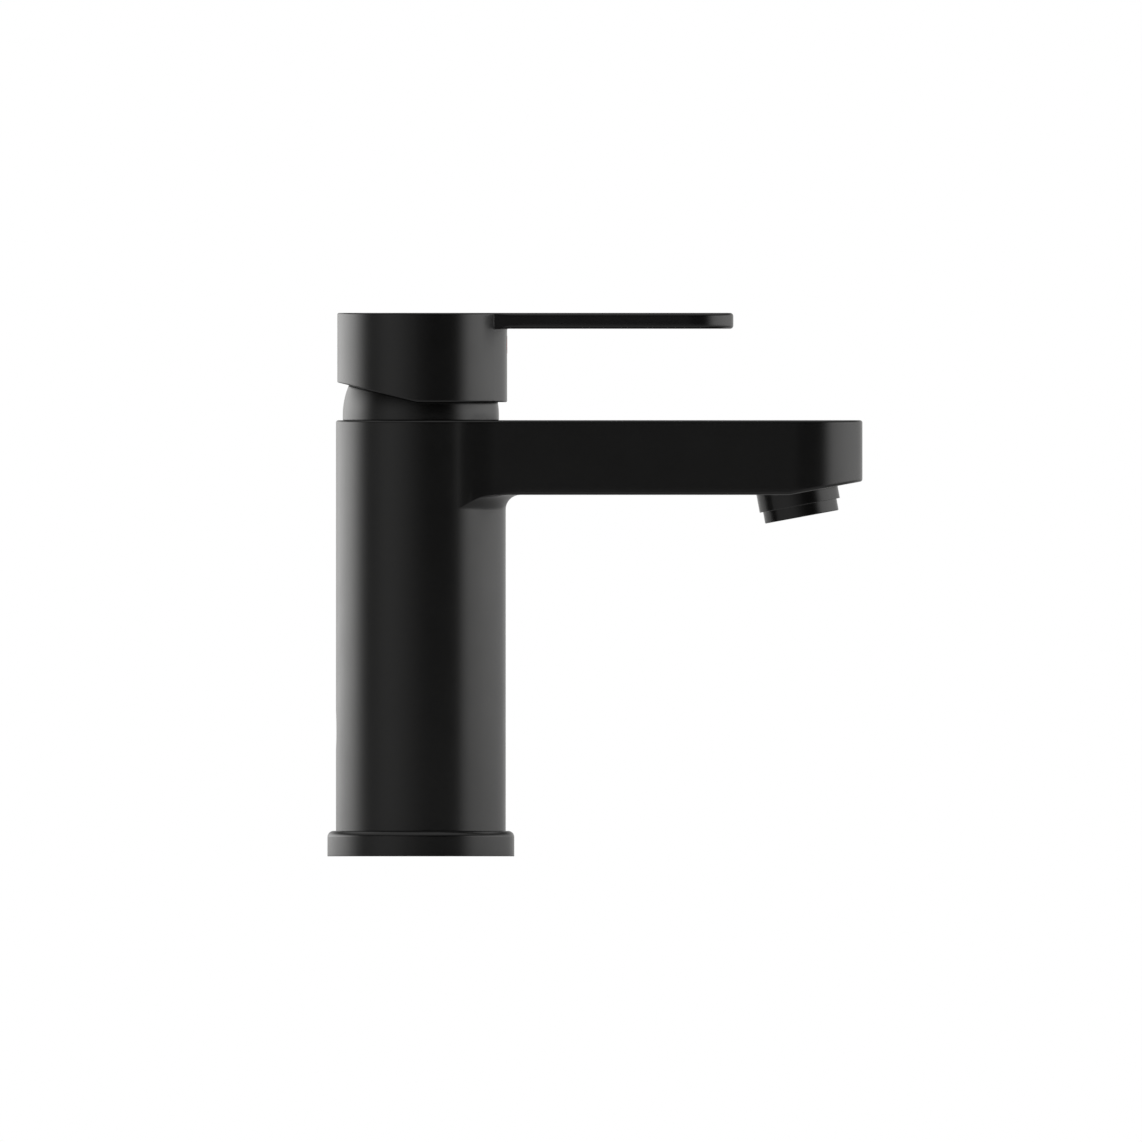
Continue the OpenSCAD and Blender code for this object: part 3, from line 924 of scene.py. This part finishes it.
def make_grid():
    """Cup with a honeycomb floor, seen inside the collar."""
    skin = Skin("aerator_honeycomb")
    outer, wall, pitch, cell = 10.35, 9.2, 1.95, 0.93
    low, high = 4.4, 5.6
    back = -4.0
    segments = 128
    hexagon = [math.radians(30 + 60 * n) for n in range(6)]
    holes = []
    count = math.ceil(wall / pitch) + 1
    for row in range(-count, count + 1):
        for k in range(-count, count + 1):
            x = pitch * (k + (row % 2) / 2)
            y = pitch * math.sin(math.radians(60)) * row
            if math.hypot(x, y) + cell < wall - 0.2:
                holes.append([(x + cell * math.cos(a), y + cell * math.sin(a)) for a in hexagon])
    for height, radius in ((high, outer), (low, wall)):
        skin.flat(circle(radius, segments), holes, lambda p, z=height: at_outlet((p[0], p[1], z)))
    for hole in holes:
        skin.rows([[at_outlet((x, y, z)) for x, y in hole] for z in (low, high)])
    profile = [(outer, high), (outer, back), (wall, back), (wall, low)]
    skin.rows([[at_outlet((x, y, z)) for x, y in circle(r, segments)] for r, z in profile])
    return skin.finish("base", GREY_PLASTIC, "aerator_insert")


def make_index():
    """Round plug in the front of the cap, curved as its wall and just proud of it."""
    skin = Skin("index_button")
    low, high = corner("index_plug")
    z = (low.z + high.z) / 2
    # rings of the face, and how far its rounded edge falls back
    face = ((0, 0), (0.9, 0), (1.8, 0), (2.4, 0), (2.62, 0.03), (2.72, 0.1), (PLUG_R, 0.22))
    rows = []
    for radius, inset in face:
        row = []
        for y, dz in circle(radius, 64):
            front = CAP_X + math.sqrt(CAP_R**2 - y**2) + PLUG_PROUD
            row.append((front - inset, y, z + dz))
        rows.append(row)
    rows.append([(low.x, y, z + dz) for y, dz in circle(PLUG_R, 64)])
    rows.append([(low.x, 0, z)] * 64)
    skin.rows(rows)
    return skin.finish("handle", INDEX, "index_plug")


make_body()
make_handle()
make_base_ring()
make_dome()
# the aerator would show as a dark smudge on the column, so it is kept out of mirror images
for piece in (make_aerator(), make_grid()):
    piece.visible_glossy = False
make_index()

# the CAD nodes that keep their own shape
CARRIED_OVER = {
    "base_gasket": RUBBER, "cartridge_seals": RUBBER, "turret_seal": RUBBER, "dome_seal": RUBBER,
    "aerator_washer": RUBBER, "fixed_disc": CERAMIC, "moving_disc": CERAMIC, "cartridge_base": ACETAL,
    "disc_carrier": ACETAL, "cartridge_housing": ACETAL, "turret": ACETAL,
    "flow_regulator": GREY_PLASTIC, "cartridge_nut": BRASS, "stem": STEEL, "pivot_pin": STEEL,
    "handle_screw": STEEL, "aerator_screen": STEEL,
}
for name, material in CARRIED_OVER.items():
    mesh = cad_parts[name].data
    mesh.materials.clear()
    mesh.materials.append(material)


FLOOR_R = 1600


def make_floor():
    bm = bmesh.new()
    bmesh.ops.create_circle(bm, cap_ends=True, segments=96, radius=FLOOR_R * MM)
    mesh = bpy.data.meshes.new("floor")
    bm.to_mesh(mesh)
    bm.free()
    floor = bpy.data.objects.new("floor", mesh)
    bpy.context.scene.collection.objects.link(floor)
    material, tree, principled = shader("pale_floor", (0.78, 0.78, 0.78), 0.6)
    tree.links.new(spread(tree, noise(tree, 40, 3), 0.55, 0.65), principled.inputs["Roughness"])
    mesh.materials.append(material)


make_floor()
